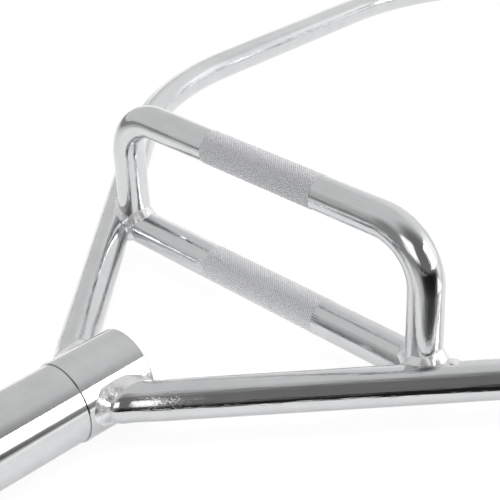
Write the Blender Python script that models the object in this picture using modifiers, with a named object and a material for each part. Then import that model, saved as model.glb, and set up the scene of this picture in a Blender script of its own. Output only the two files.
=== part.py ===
import math

import bmesh
import bpy
from mathutils import Vector

# Driving dimensions, in metres. +X runs along the plate sleeves, the floor is z = 0.
OVERALL_LENGTH = 1.420
SLEEVE_OD = 0.050
SLEEVE_WALL = 0.0049
HUB_OD = 0.052
HUB_LENGTH = 0.0475
SEAM_X = 0.5044
AXIS_Z = HUB_OD / 2

RAIL_OD = 0.0245
RAIL_ANGLE = math.radians(41.9)
RAIL_CROSSING_X = SEAM_X + 0.0047
RAIL_HALF_WIDTH = 0.3009
RAIL_BEND_RADIUS = 0.222
RAIL_START = 0.013

HANDLE_X = 0.3376
LOW_HANDLE_OD = 0.0245
RAISED_HANDLE_OD = 0.0229
RAISED_HEIGHT = 0.0892
LEG_Y = 0.1328
HANDLE_BEND_RADIUS = 0.0335

HUB_WELD_RADIUS = 0.0048
HANDLE_WELD_RADIUS = 0.0040
BEAD_LIFT = 0.0012
SADDLE_BLEND = 6

SPINDLE_OD = 0.034
SPINDLE_ROOT_OD = 0.040
CLIP_GROOVE_DEPTH = 0.0014
CLIP_SETBACK = 0.003
SPINDLE_END_GAP = 0.013
SPINDLE_CHAMFER = 0.0015
SPINDLE_SETBACK = 0.001
BUSH_LENGTH = 0.028
BUSH_CHAMFER = 0.001
THRUST_WASHER_THICKNESS = 0.002
RETAINING_WASHER_THICKNESS = 0.0016
CIRCLIP_THICKNESS = 0.0018
CIRCLIP_GAP = 0.010
CAP_THICKNESS = 0.007
CAP_CHAMFER = 0.0008
EDGE_CHAMFER = 0.0006
SEAM_CHAMFER = 0.0003
SLEEVE_END_CHAMFER = 0.0012

# Clearances: touching weldment pieces, running fits, the seam that the sleeve turns at, and
# what stands still inside the turning sleeve.
JOINT_GAP = 0.0003
RUNNING_GAP = 0.0001
SEAM_GAP = 0.0003
THRUST_WASHER_CLEARANCE = 0.00035
CIRCLIP_CLEARANCE = 0.0009

SLEEVE_BORE = SLEEVE_OD - 2 * SLEEVE_WALL
SPINDLE_GROOVE_OD = SPINDLE_OD - 2 * CLIP_GROOVE_DEPTH
THRUST_WASHER_OD = SLEEVE_BORE - 2 * THRUST_WASHER_CLEARANCE
CIRCLIP_OD = SLEEVE_BORE - 2 * CIRCLIP_CLEARANCE

TURN_STEPS = 40
TUBE_SIDES = 24
BEAD_SIDES = 8
RAIL_BEND_STEPS = 6
HANDLE_BEND_STEPS = 6
HUB_BEAD_POINTS = 28
BEAD_PHASE = 0.3
HANDLE_BEAD_POINTS = 26
CUT_OVERRUN = 0.02
COPE_REACH = 0.06
ROOT_CUT_REACH = 0.078
MERGE_DISTANCE = 0.00002
SMOOTH_ANGLE = math.radians(35.0)
BEAD_SMOOTH_ANGLE = math.radians(50.0)

MATERIALS = {
    "chrome": ((0.64, 0.645, 0.655, 1.0), 1.0, 0.07),
    "ground_steel": ((0.55, 0.56, 0.58, 1.0), 1.0, 0.30),
    "bronze": ((0.66, 0.44, 0.22, 1.0), 1.0, 0.35),
    "spring_steel": ((0.12, 0.12, 0.13, 1.0), 1.0, 0.40),
    "black_plastic": ((0.03, 0.03, 0.03, 1.0), 0.0, 0.55),
}


def clear_scene():
    for obj in list(bpy.data.objects):
        bpy.data.objects.remove(obj, do_unlink=True)


def make_collection(name, hidden=False):
    collection = bpy.data.collections.new(name)
    bpy.context.scene.collection.children.link(collection)
    collection.hide_render = hidden
    return collection


def material_for(node, finish):
    color, metallic, roughness = MATERIALS[finish]
    material = bpy.data.materials.new(f"{node}_{finish}")
    material.use_nodes = True
    shader = material.node_tree.nodes["Principled BSDF"]
    shader.inputs["Base Color"].default_value = color
    shader.inputs["Metallic"].default_value = metallic
    shader.inputs["Roughness"].default_value = roughness
    return material


def add_part(name, mesh, finish, parent):
    obj = bpy.data.objects.new(name, mesh)
    parts.objects.link(obj)
    mesh.materials.append(material_for(name, finish))
    obj.parent = parent
    return obj


def add_cutter(name, mesh):
    obj = bpy.data.objects.new(f"cut_{name}", mesh)
    cutters.objects.link(obj)
    obj.display_type = "WIRE"
    obj.hide_render = True
    return obj


def add_empty(name, location, parent=None):
    empty = bpy.data.objects.new(name, None)
    parts.objects.link(empty)
    empty.empty_display_size = 0.05
    empty.location = location
    empty.parent = parent
    return empty


def boolean(obj, cutter, operation="DIFFERENCE", use_self=False):
    modifier = obj.modifiers.new(f"{operation.lower()}_{cutter.name}", "BOOLEAN")
    modifier.operation = operation
    modifier.solver = "EXACT"
    modifier.use_self = use_self
    modifier.object = cutter


def merge_corners(obj):
    modifier = obj.modifiers.new("merge_corners", "WELD")
    modifier.merge_threshold = MERGE_DISTANCE


def shade(obj, angle=SMOOTH_ANGLE):
    obj.data.shade_smooth()
    obj.data.set_sharp_from_angle(angle=angle)


def tube_mesh(name, points, radius, sides, cyclic=False):
    """A round bar along a poly-line, welded shut so that Booleans can use it."""
    curve = bpy.data.curves.new(name, "CURVE")
    curve.dimensions = "3D"
    curve.bevel_depth = radius
    # a full round bevel has 4 + 2 * resolution sides
    curve.bevel_resolution = (sides - 4) // 2
    curve.use_fill_caps = not cyclic
    curve.resolution_u = 1
    spline = curve.splines.new("POLY")
    spline.points.add(len(points) - 1)
    for point, co in zip(spline.points, points):
        point.co = (*co, 1.0)
    spline.use_cyclic_u = cyclic
    source = bpy.data.objects.new(f"{name}_path", curve)
    cutters.objects.link(source)
    depsgraph = bpy.context.evaluated_depsgraph_get()
    mesh = bpy.data.meshes.new_from_object(source.evaluated_get(depsgraph))
    mesh.name = name
    mesh.materials.clear()
    bpy.data.objects.remove(source, do_unlink=True)
    bm = bmesh.new()
    bm.from_mesh(mesh)
    bmesh.ops.remove_doubles(bm, verts=bm.verts, dist=1e-6)
    bmesh.ops.recalc_face_normals(bm, faces=bm.faces)
    bm.to_mesh(mesh)
    bm.free()
    return mesh


def rounded_path(corners, radius, steps):
    """Poly-line through corners, each inner corner replaced by an arc of the given radius."""
    path = [Vector(corners[0])]
    for before, corner, after in zip(corners, corners[1:], corners[2:]):
        corner = Vector(corner)
        back = (Vector(before) - corner).normalized()
        ahead = (Vector(after) - corner).normalized()
        half_angle = back.angle(ahead) / 2
        centre = corner + (back + ahead).normalized() * radius / math.sin(half_angle)
        start = corner + back * radius / math.tan(half_angle)
        spoke = start - centre
        turn = math.pi - 2 * half_angle
        for step in range(steps + 1):
            angle = turn * step / steps
            path.append(centre + spoke * math.cos(angle) - back * radius * math.sin(angle))
    path.append(Vector(corners[-1]))
    return path


def turned_mesh(name, profile, closed):
    """Profile of (x, radius) pairs; the Screw modifier turns it about the X axis."""
    mesh = bpy.data.meshes.new(name)
    bm = bmesh.new()
    verts = [bm.verts.new((x, 0.0, radius)) for x, radius in profile]
    for first, second in zip(verts, verts[1:]):
        bm.edges.new((first, second))
    if closed:
        bm.edges.new((verts[-1], verts[0]))
    bm.to_mesh(mesh)
    bm.free()
    return mesh


def turned_part(name, profile, finish, parent, closed=True):
    obj = add_part(name, turned_mesh(name, profile, closed), finish, parent)
    screw = obj.modifiers.new("turn", "SCREW")
    screw.axis = "X"
    screw.angle = math.tau
    screw.screw_offset = 0.0
    screw.steps = TURN_STEPS
    screw.render_steps = TURN_STEPS
    screw.use_merge_vertices = True
    screw.merge_threshold = MERGE_DISTANCE
    screw.use_normal_flip = True
    screw.use_smooth_shade = True
    return obj


def ring_profile(x_start, x_end, r_inner, r_outer, chamfer_start=0.0, chamfer_end=0.0):
    """Outline of a ring section, with its outer corners chamfered where asked."""
    profile = [(x_start, r_inner)]
    if chamfer_start:
        profile += [(x_start, r_outer - chamfer_start), (x_start + chamfer_start, r_outer)]
    else:
        profile.append((x_start, r_outer))
    if chamfer_end:
        profile += [(x_end - chamfer_end, r_outer), (x_end, r_outer - chamfer_end)]
    else:
        profile.append((x_end, r_outer))
    profile.append((x_end, r_inner))
    return profile


def round_cutter(name, start, end, radius, sides):
    return add_cutter(name, tube_mesh(name, [start, end], radius, sides))


def rail_direction(side, lean):
    """Unit vector from the hub of one side outwards along its front or rear rail."""
    return Vector((-side * math.cos(RAIL_ANGLE), lean * math.sin(RAIL_ANGLE), 0.0))


def rail_crossing(side):
    return Vector((side * RAIL_CROSSING_X, 0.0, AXIS_Z))


def rail_axis_y(x_from_centre):
    """Distance of a slanted rail's axis from the centre line, at this x."""
    return (RAIL_CROSSING_X - x_from_centre) * math.tan(RAIL_ANGLE)


def hub_bead_path(side, lean):
    """Closed curve where a slanted rail's surface runs into the hub's surface."""
    direction = rail_direction(side, lean)
    across = Vector((direction.y, -direction.x, 0.0))
    points = []
    for step in range(HUB_BEAD_POINTS):
        angle = math.tau * (step + BEAD_PHASE) / HUB_BEAD_POINTS
        offset = across * RAIL_OD / 2 * math.cos(angle)
        offset.z = RAIL_OD / 2 * math.sin(angle)
        reach = math.sqrt((HUB_OD / 2) ** 2 - offset.z**2)
        travel = (lean * reach - offset.y) / direction.y
        points.append(rail_crossing(side) + offset + direction * travel)
    return points


def butt_bead_path(side, lean):
    """Closed curve where the low handle's end meets the slanted rail."""
    points = []
    for step in range(HANDLE_BEAD_POINTS):
        angle = math.tau * (step + BEAD_PHASE) / HANDLE_BEAD_POINTS
        x_offset = LOW_HANDLE_OD / 2 * math.cos(angle)
        z_offset = LOW_HANDLE_OD / 2 * math.sin(angle)
        lifted = RAIL_OD / 2 + BEAD_LIFT
        depth = math.sqrt(lifted**2 - z_offset**2) / math.cos(RAIL_ANGLE)
        y = rail_axis_y(HANDLE_X + x_offset) - depth
        points.append(Vector((side * (HANDLE_X + x_offset), lean * y, AXIS_Z + z_offset)))
    return points


def foot_bead_path(side, lean):
    """Closed curve where a leg stands on the low handle and on the rail beside it."""
    points = []
    for step in range(HANDLE_BEAD_POINTS):
        angle = math.tau * (step + BEAD_PHASE) / HANDLE_BEAD_POINTS
        x_offset = RAISED_HANDLE_OD / 2 * math.cos(angle)
        y = LEG_Y + RAISED_HANDLE_OD / 2 * math.sin(angle)
        from_rail = (rail_axis_y(HANDLE_X + x_offset) - y) * math.cos(RAIL_ANGLE)
        on_handle = math.sqrt(max((LOW_HANDLE_OD / 2) ** 2 - x_offset**2, 0.0))
        on_rail = math.sqrt(max((RAIL_OD / 2) ** 2 - from_rail**2, 0.0))
        blended = (on_handle**SADDLE_BLEND + on_rail**SADDLE_BLEND) ** (1 / SADDLE_BLEND)
        height = AXIS_Z + blended
        points.append(Vector((side * (HANDLE_X + x_offset), lean * y, height)))
    return points


def build_rail(name, lean, hub_cuts, parent):
    apex_x = RAIL_CROSSING_X - RAIL_HALF_WIDTH / math.tan(RAIL_ANGLE)
    corners = [
        rail_crossing(-1) + rail_direction(-1, lean) * RAIL_START,
        (-apex_x, lean * RAIL_HALF_WIDTH, AXIS_Z),
        (apex_x, lean * RAIL_HALF_WIDTH, AXIS_Z),
        rail_crossing(1) + rail_direction(1, lean) * RAIL_START,
    ]
    path = rounded_path(corners, RAIL_BEND_RADIUS, RAIL_BEND_STEPS)
    rail = add_part(name, tube_mesh(name, path, RAIL_OD / 2, TUBE_SIDES), "chrome", parent)
    for cut in hub_cuts:
        boolean(rail, cut)
        merge_corners(rail)
    shade(rail)
    return rail


def slant_cutter(name, side, lean, radius):
    """Stands in for a slanted rail where other pieces are coped to it."""
    direction = rail_direction(side, lean)
    middle_y = rail_axis_y(HANDLE_X)
    middle = Vector((side * HANDLE_X, lean * middle_y, AXIS_Z))
    reach = direction * COPE_REACH
    return round_cutter(name, middle - reach, middle + reach, radius, TUBE_SIDES)


def handle_axis_points(side, overrun):
    end_y = rail_axis_y(HANDLE_X) + overrun
    return [
        Vector((side * HANDLE_X, -end_y, AXIS_Z)),
        Vector((side * HANDLE_X, end_y, AXIS_Z)),
    ]


def build_handles(side_name, side, parent):
    rail_cuts = {
        lean: slant_cutter(f"{side_name}_{end}_rail", side, lean, RAIL_OD / 2 + JOINT_GAP)
        for end, lean in ENDS
    }
    handle_cut = round_cutter(
        f"{side_name}_low_handle",
        *handle_axis_points(side, CUT_OVERRUN),
        LOW_HANDLE_OD / 2 + JOINT_GAP,
        TUBE_SIDES,
    )

    name = f"{side_name}_low_handle"
    mesh = tube_mesh(name, handle_axis_points(side, 0.0), LOW_HANDLE_OD / 2, TUBE_SIDES)
    low = add_part(name, mesh, "chrome", parent)
    for cut in rail_cuts.values():
        boolean(low, cut)
        merge_corners(low)
    shade(low)

    name = f"{side_name}_raised_handle"
    x = side * HANDLE_X
    top = AXIS_Z + RAISED_HEIGHT
    corners = [(x, -LEG_Y, AXIS_Z), (x, -LEG_Y, top), (x, LEG_Y, top), (x, LEG_Y, AXIS_Z)]
    path = rounded_path(corners, HANDLE_BEND_RADIUS, HANDLE_BEND_STEPS)
    raised = add_part(
        name, tube_mesh(name, path, RAISED_HANDLE_OD / 2, TUBE_SIDES), "chrome", parent
    )
    for cut in (handle_cut, *rail_cuts.values()):
        boolean(raised, cut)
        merge_corners(raised)
    shade(raised)

    for end, lean in ENDS:
        leg_cut = round_cutter(
            f"{side_name}_{end}_leg",
            (x, lean * LEG_Y, AXIS_Z),
            (x, lean * LEG_Y, AXIS_Z + RAISED_HEIGHT / 2),
            RAISED_HANDLE_OD / 2 + JOINT_GAP,
            TUBE_SIDES,
        )
        foot = add_cutter(
            f"{side_name}_{end}_foot_bead",
            tube_mesh("foot_bead", foot_bead_path(side, lean), HANDLE_WELD_RADIUS, BEAD_SIDES, True),
        )
        name = f"{side_name}_{end}_handle_weld"
        weld = add_part(
            name,
            tube_mesh(name, butt_bead_path(side, lean), HANDLE_WELD_RADIUS, BEAD_SIDES, True),
            "chrome",
            parent,
        )
        boolean(weld, foot, "UNION", use_self=True)
        for cut in (rail_cuts[lean], handle_cut, leg_cut):
            boolean(weld, cut)
            merge_corners(weld)
        shade(weld, BEAD_SMOOTH_ANGLE)


def build_hub_welds(side_name, side, hub_cut, parent):
    for end, lean in ENDS:
        direction = rail_direction(side, lean)
        rail_cut = round_cutter(
            f"{side_name}_{end}_rail_root",
            rail_crossing(side) + direction * RAIL_START,
            rail_crossing(side) + direction * ROOT_CUT_REACH,
            RAIL_OD / 2 + JOINT_GAP,
            TUBE_SIDES,
        )
        name = f"{side_name}_{end}_hub_weld"
        weld = add_part(
            name,
            tube_mesh(name, hub_bead_path(side, lean), HUB_WELD_RADIUS, BEAD_SIDES, True),
            "chrome",
            parent,
        )
        for cut in (hub_cut, rail_cut):
            boolean(weld, cut)
            merge_corners(weld)
        shade(weld, BEAD_SMOOTH_ANGLE)


def clip_slot_mesh(middle_x):
    """Block that opens the circlip's ring at its lowest point."""
    mesh = bpy.data.meshes.new("clip_slot")
    bm = bmesh.new()
    bmesh.ops.create_cube(bm, size=1.0)
    length = CIRCLIP_THICKNESS + 2 * RETAINING_WASHER_THICKNESS
    bmesh.ops.scale(bm, vec=(length, CIRCLIP_GAP, CIRCLIP_OD), verts=bm.verts)
    bmesh.ops.translate(bm, vec=(middle_x, 0.0, -CIRCLIP_OD / 2), verts=bm.verts)
    bm.to_mesh(mesh)
    bm.free()
    return mesh


def build_sleeve(side_name, parent, hub_parent):
    """Turned pieces of one end, drawn for +X; their empties carry them to either side."""
    end_x = OVERALL_LENGTH / 2
    hub_inner_x = SEAM_X - HUB_LENGTH
    root_start = hub_inner_x + SPINDLE_SETBACK
    shaft_r = SPINDLE_OD / 2
    root_r = SPINDLE_ROOT_OD / 2
    bore_r = SLEEVE_BORE / 2
    shaft_end = end_x - SPINDLE_END_GAP
    washer_start = SEAM_X + SEAM_GAP
    washer_end = washer_start + THRUST_WASHER_THICKNESS
    inner_bush_start = washer_end + JOINT_GAP
    clip_end = shaft_end - CLIP_SETBACK
    clip_start = clip_end - CIRCLIP_THICKNESS
    keeper_end = clip_start - JOINT_GAP
    keeper_start = keeper_end - RETAINING_WASHER_THICKNESS
    outer_bush_end = keeper_start - JOINT_GAP
    groove_r = SPINDLE_GROOVE_OD / 2

    turned_part(
        f"{side_name}_hub",
        ring_profile(
            hub_inner_x, SEAM_X, root_r + JOINT_GAP, HUB_OD / 2, EDGE_CHAMFER, SEAM_CHAMFER
        ),
        "chrome",
        hub_parent,
    )
    spindle = [
        (root_start, 0.0),
        (root_start, root_r - EDGE_CHAMFER),
        (root_start + EDGE_CHAMFER, root_r),
        (SEAM_X, root_r),
        (SEAM_X, shaft_r),
        (clip_start - RUNNING_GAP, shaft_r),
        (clip_start - RUNNING_GAP, groove_r),
        (clip_end + RUNNING_GAP, groove_r),
        (clip_end + RUNNING_GAP, shaft_r),
        (shaft_end - SPINDLE_CHAMFER, shaft_r),
        (shaft_end, shaft_r - SPINDLE_CHAMFER),
        (shaft_end, 0.0),
    ]
    turned_part(f"{side_name}_spindle", spindle, "ground_steel", hub_parent, closed=False)
    turned_part(
        f"{side_name}_thrust_washer",
        ring_profile(washer_start, washer_end, shaft_r + JOINT_GAP, THRUST_WASHER_OD / 2),
        "bronze",
        hub_parent,
    )
    turned_part(
        f"{side_name}_retaining_washer",
        ring_profile(keeper_start, keeper_end, shaft_r + JOINT_GAP, CIRCLIP_OD / 2),
        "ground_steel",
        hub_parent,
    )

    clip = turned_part(
        f"{side_name}_circlip",
        ring_profile(clip_start, clip_end, groove_r + RUNNING_GAP, CIRCLIP_OD / 2),
        "spring_steel",
        hub_parent,
    )
    slot = add_cutter(f"{side_name}_clip_slot", clip_slot_mesh((clip_start + clip_end) / 2))
    slot.parent = hub_parent
    boolean(clip, slot)

    sleeve = [
        (SEAM_X + SEAM_GAP, bore_r),
        (SEAM_X + SEAM_GAP, SLEEVE_OD / 2 - SEAM_CHAMFER),
        (SEAM_X + SEAM_GAP + SEAM_CHAMFER, SLEEVE_OD / 2),
        (end_x - SLEEVE_END_CHAMFER, SLEEVE_OD / 2),
        (end_x, SLEEVE_OD / 2 - SLEEVE_END_CHAMFER),
        (end_x, bore_r),
    ]
    turned_part(f"{side_name}_plate_sleeve", sleeve, "chrome", parent)
    bush_r = bore_r - JOINT_GAP
    for place, start, end in (
        ("inner", inner_bush_start, inner_bush_start + BUSH_LENGTH),
        ("outer", outer_bush_end - BUSH_LENGTH, outer_bush_end),
    ):
        turned_part(
            f"{side_name}_{place}_bush",
            ring_profile(start, end, shaft_r + RUNNING_GAP, bush_r, BUSH_CHAMFER, BUSH_CHAMFER),
            "bronze",
            parent,
        )
    cap = [
        (end_x - CAP_THICKNESS, 0.0),
        (end_x - CAP_THICKNESS, bore_r - JOINT_GAP),
        (end_x - CAP_CHAMFER, bore_r - JOINT_GAP),
        (end_x, bore_r - JOINT_GAP - CAP_CHAMFER),
        (end_x, 0.0),
    ]
    turned_part(f"{side_name}_end_cap", cap, "black_plastic", parent, closed=False)


ENDS = (("front", -1), ("rear", 1))
SIDES = (("left", -1), ("right", 1))

clear_scene()
parts = make_collection("trap_bar")
cutters = make_collection("trap_bar_cutters", hidden=True)

frame = add_empty("weldment", (0.0, 0.0, 0.0))
hub_cuts = {}
for side_name, side in SIDES:
    hub_cuts[side] = round_cutter(
        f"{side_name}_hub",
        (side * (SEAM_X + CUT_OVERRUN), 0.0, AXIS_Z),
        (side * (SEAM_X - HUB_LENGTH - CUT_OVERRUN), 0.0, AXIS_Z),
        HUB_OD / 2 + JOINT_GAP,
        TURN_STEPS,
    )

for end, lean in ENDS:
    build_rail(f"{end}_rail", lean, hub_cuts.values(), frame)

for side_name, side in SIDES:
    build_handles(side_name, side, frame)
    build_hub_welds(side_name, side, hub_cuts[side], frame)
    facing = math.pi if side < 0 else 0.0
    hub_axis = add_empty(f"{side_name}_hub_axis", (0.0, 0.0, AXIS_Z), frame)
    hub_axis.rotation_euler.z = facing
    spin_axis = add_empty(f"{side_name}_spin_axis", (0.0, 0.0, AXIS_Z), frame)
    spin_axis.rotation_euler.z = facing
    build_sleeve(side_name, spin_axis, hub_axis)
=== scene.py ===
import math

import bpy
import numpy as np
from mathutils import Matrix, Vector


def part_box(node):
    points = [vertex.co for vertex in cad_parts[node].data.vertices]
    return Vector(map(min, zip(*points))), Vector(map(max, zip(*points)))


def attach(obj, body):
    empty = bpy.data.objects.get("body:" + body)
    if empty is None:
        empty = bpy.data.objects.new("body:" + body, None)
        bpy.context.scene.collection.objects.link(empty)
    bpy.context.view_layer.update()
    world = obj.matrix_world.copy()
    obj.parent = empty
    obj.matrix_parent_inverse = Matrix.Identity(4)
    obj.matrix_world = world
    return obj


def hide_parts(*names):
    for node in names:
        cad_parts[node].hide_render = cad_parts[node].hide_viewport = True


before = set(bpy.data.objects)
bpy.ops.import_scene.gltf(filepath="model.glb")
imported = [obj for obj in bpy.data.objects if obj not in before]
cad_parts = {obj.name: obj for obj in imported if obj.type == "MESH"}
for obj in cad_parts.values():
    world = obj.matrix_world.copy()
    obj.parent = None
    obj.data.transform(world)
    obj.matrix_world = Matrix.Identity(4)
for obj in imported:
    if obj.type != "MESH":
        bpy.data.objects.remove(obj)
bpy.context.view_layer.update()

print("frame loaded")


# Sizes that every piece is set out from, in metres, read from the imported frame. The rails' angle,
# their crossing point's distance from the seam and the bend radii can't be read there.
def nodeBox(node):
    # its lowest and highest corner
    return [np.array(corner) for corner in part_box(node)]


hubLow, hubHigh = nodeBox("right_hub")
sleeveLow, sleeveHigh = nodeBox("right_plate_sleeve")
railLow, railHigh = nodeBox("front_rail")
lowLow, lowHigh = nodeBox("right_low_handle")
raisedLow, raisedHigh = nodeBox("right_raised_handle")
capLow, capHigh = nodeBox("right_end_cap")
spindleLow, spindleHigh = nodeBox("right_spindle")

bar = {
    "axisZ": (hubHigh[2] + hubLow[2]) / 2,
    "hubRadius": (hubHigh[2] - hubLow[2]) / 2,
    "hubInnerX": hubLow[0],
    "seamX": hubHigh[0],
    "rootRadius": (spindleHigh[2] - spindleLow[2]) / 2,
    "sleeveRadius": (sleeveHigh[2] - sleeveLow[2]) / 2,
    "sleeveStartX": sleeveLow[0],
    "sleeveEndX": sleeveHigh[0],
    "capRadius": (capHigh[2] - capLow[2]) / 2,
    "capInnerX": capLow[0],
    "railRadius": (railHigh[2] - railLow[2]) / 2,
    "railAngle": math.radians(41.9),
    "railCrossing": 0.0047,
    "railBendRadius": 0.222,
    "handleX": (raisedHigh[0] + raisedLow[0]) / 2,
    "lowRadius": (lowHigh[2] - lowLow[2]) / 2,
    "raisedRadius": (raisedHigh[0] - raisedLow[0]) / 2,
    "legBendRadius": 0.0335,
}
bar["railHalfWidth"] = -railLow[1] - bar["railRadius"]
bar["crossingX"] = bar["seamX"] + bar["railCrossing"]
bar["legY"] = raisedHigh[1] - bar["raisedRadius"]
bar["gripZ"] = raisedHigh[2] - bar["raisedRadius"]

sides = (("left", -1), ("right", 1))
ends = (("front", -1), ("rear", 1))
xAxis, yAxis, zAxis = np.eye(3)


# Colours, shader nodes and objects
def linearColour(hexCode):
    # sRGB bytes to the linear values that a shader works in
    channels = np.array([int(hexCode[at:at + 2], 16) for at in (1, 3, 5)]) / 255
    linear = np.where(channels <= 0.04045, channels / 12.92, ((channels + 0.055) / 1.055) ** 2.4)
    return (*linear.tolist(), 1.0)


def perSize(millimetres):
    # pattern scale whose features come out this many millimetres wide
    return 1000.0 / millimetres


def setInputs(tree, node, inputs):
    # by name or number: another node's socket is linked, anything else is the input's value
    for key, given in inputs.items():
        if isinstance(given, bpy.types.NodeSocket):
            tree.links.new(given, node.inputs[key])
        else:
            node.inputs[key].default_value = given


def addNode(tree, kind, inputs=None, output=0, **settings):
    # settings are the node's own options; gives back its output of this name or number. A mix
    # node mixes inputs 2 and 3 as numbers, or 6 and 7 as colours, and its colour is output 2.
    node = tree.nodes.new(kind)
    for key, value in settings.items():
        setattr(node, key, value)
    setInputs(tree, node, inputs or {})
    return node.outputs[output] if len(node.outputs) else None


def linkedObject(name, data):
    # a new object in the scene
    made = bpy.data.objects.new(name, data)
    bpy.context.scene.collection.objects.link(made)
    return made


def newMaterial(name):
    # with its shader, and the coordinates of the part's own frame, in metres
    material = bpy.data.materials.new(name)
    material.use_nodes = True
    tree = material.node_tree
    return material, tree, tree.nodes["Principled BSDF"], addNode(tree, "ShaderNodeTexCoord", output="Object")


def stretchedNoise(tree, place, alongMm, roundMm, detail, roughness=0.6):
    # features this long on the first axis, which runs along the piece, and this wide on the others
    scale = (perSize(alongMm), perSize(roundMm), perSize(roundMm))
    stretched = addNode(tree, "ShaderNodeMapping", {"Vector": place, "Scale": scale})
    inputs = {"Vector": stretched, "Scale": 1.0, "Detail": detail, "Roughness": roughness}
    return addNode(tree, "ShaderNodeTexNoise", inputs)


# noise stays near its middle, so its values are read over this part of their range
noiseSpan = {"From Min": 0.3, "From Max": 0.7}

# Bright chrome over belt-polished steel: a hard mirror with a faint ripple from drawing and
# polishing, fine streaks that run the way the steel was polished, and cloudy, slightly milky
# patches where the plating is uneven. Near a weld the steel was dressed by hand and spattered,
# so the attribute "dressed", 1 at a weld and 0 away from it, brings a fine pitted grain there.
chrome = {
    "cloud": {"Scale": perSize(22.0), "Detail": 4.0, "Roughness": 0.6}, "cloudRough": (0.035, 0.09),
    "haze": {"Scale": perSize(38.0), "Detail": 5.0, "Roughness": 0.6}, "hazeRough": (0.0, 0.07),
    "hazeSpan": {"From Min": 0.52, "From Max": 0.70},
    "grain": {"alongMm": 2.6, "roundMm": 0.9, "detail": 2.0}, "grainDepth": 0.00014, "grainRough": 0.06,
    "drawn": {
        "name": "bright_chrome_over_drawn_bar",
        "shades": {6: linearColour("#BEBFC0"), 7: linearColour("#DEDFE0")}, "extraRough": 0.0,
        "streak": {"alongMm": 60.0, "roundMm": 1.7, "detail": 3.0},
        "streakDepth": 0.00014, "streakRough": 0.035, "streakTone": 0.4,
        "ripple": {"alongMm": 16.0, "roundMm": 5.0, "detail": 2.0}, "rippleDepth": 0.00006,
    },
    "ground": {
        "name": "bright_chrome_over_ground_tube",
        "shades": {6: linearColour("#BEBFC0"), 7: linearColour("#DEDFE0")}, "extraRough": 0.012,
        "streak": {"alongMm": 1.2, "roundMm": 50.0, "detail": 3.0},
        "streakDepth": 0.000003, "streakRough": 0.02, "streakTone": 0.12,
        "ripple": {"alongMm": 30.0, "roundMm": 14.0, "detail": 2.0}, "rippleDepth": 0.00002,
    },
    # a turned end was not polished before plating, so it stays a satin; its darker colour is painted shade
    # along the hub's inner rim
    "turnedEnd": {
        "name": "satin_chrome_with_painted_shade_over_turned_end",
        "shades": {6: linearColour("#939495"), 7: linearColour("#AEAFB0")}, "extraRough": 0.22,
        "streak": {"alongMm": 0.3, "roundMm": 50.0, "detail": 3.0},
        "streakDepth": 0.000003, "streakRough": 0.04, "streakTone": 0.5,
        "ripple": {"alongMm": 30.0, "roundMm": 14.0, "detail": 2.0}, "rippleDepth": 0.00002,
    },
}


def brightChrome(kind):
    look = chrome[kind]
    material, tree, shader, place = newMaterial(look["name"])
    surface = addNode(tree, "ShaderNodeUVMap", uv_map="surface")
    dressed = addNode(tree, "ShaderNodeAttribute", output="Fac", attribute_name="dressed")
    cloud = addNode(tree, "ShaderNodeTexNoise", {"Vector": place, **chrome["cloud"]})
    haze = addNode(tree, "ShaderNodeTexNoise", {"Vector": place, **chrome["haze"]})
    streaks = stretchedNoise(tree, surface, **look["streak"])
    tone = addNode(tree, "ShaderNodeMix", {0: look["streakTone"], 2: cloud, 3: streaks}, data_type="FLOAT")
    colour = addNode(tree, "ShaderNodeMix", {0: tone, **look["shades"]}, 2, data_type="RGBA")
    # the grain by the welds, the clouds, the streaks and the milky patches each add their roughness
    rough = addNode(tree, "ShaderNodeMath", {0: dressed, 1: chrome["grainRough"]}, operation="MULTIPLY")
    cloudRough = [level + look["extraRough"] for level in chrome["cloudRough"]]
    for pattern, span, (low, high) in (
        (cloud, noiseSpan, cloudRough),
        (streaks, noiseSpan, (-look["streakRough"], look["streakRough"])),
        (haze, chrome["hazeSpan"], chrome["hazeRough"]),
    ):
        part = addNode(tree, "ShaderNodeMapRange", {"Value": pattern, **span, "To Min": low, "To Max": high})
        rough = addNode(tree, "ShaderNodeMath", {0: rough, 1: part}, operation="ADD")
    normal = {}
    for depth, height, strength in (
        (look["rippleDepth"], stretchedNoise(tree, surface, **look["ripple"]), 1.0),
        (look["streakDepth"], streaks, 1.0),
        (chrome["grainDepth"], stretchedNoise(tree, surface, **chrome["grain"]), dressed),
    ):
        layer = {"Distance": depth, "Height": height, "Strength": strength}
        normal = {"Normal": addNode(tree, "ShaderNodeBump", {**layer, **normal})}
    setInputs(tree, shader, {"Metallic": 1.0, "Base Color": colour, "Roughness": rough, **normal})
    return material


# Chrome over rolled diamond knurling: the crests are polished and the grooves keep a satin skin. Its colours
# are painted lighter than chrome reflects, so the grip reads as an even pale grey, with a painted highlight
# on the crests and painted shade in the grooves.
knurledPlate = {
    "shades": {6: linearColour("#D0D1D3"), 7: linearColour("#FAFAFB")},
    "rough": {"To Min": 0.75, "To Max": 0.55},
    "skin": {"Scale": perSize(0.35), "Detail": 3.0}, "skinDepth": 0.00001,
}


def knurledChrome():
    material, tree, shader, place = newMaterial("chrome_over_diamond_knurling_with_painted_light")
    crest = addNode(tree, "ShaderNodeAttribute", output="Fac", attribute_name="crest")
    # painted light: crests near white as a painted highlight, grooves darker as painted shade
    colour = addNode(tree, "ShaderNodeMix", {0: crest, **knurledPlate["shades"]}, 2, data_type="RGBA")
    rough = addNode(tree, "ShaderNodeMapRange", {"Value": crest, **knurledPlate["rough"]})
    skin = addNode(tree, "ShaderNodeTexNoise", {"Vector": place, **knurledPlate["skin"]})
    bump = addNode(tree, "ShaderNodeBump", {"Distance": knurledPlate["skinDepth"], "Height": skin})
    setInputs(tree, shader, {"Metallic": 1.0, "Base Color": colour, "Roughness": rough, "Normal": bump})
    return material
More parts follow.
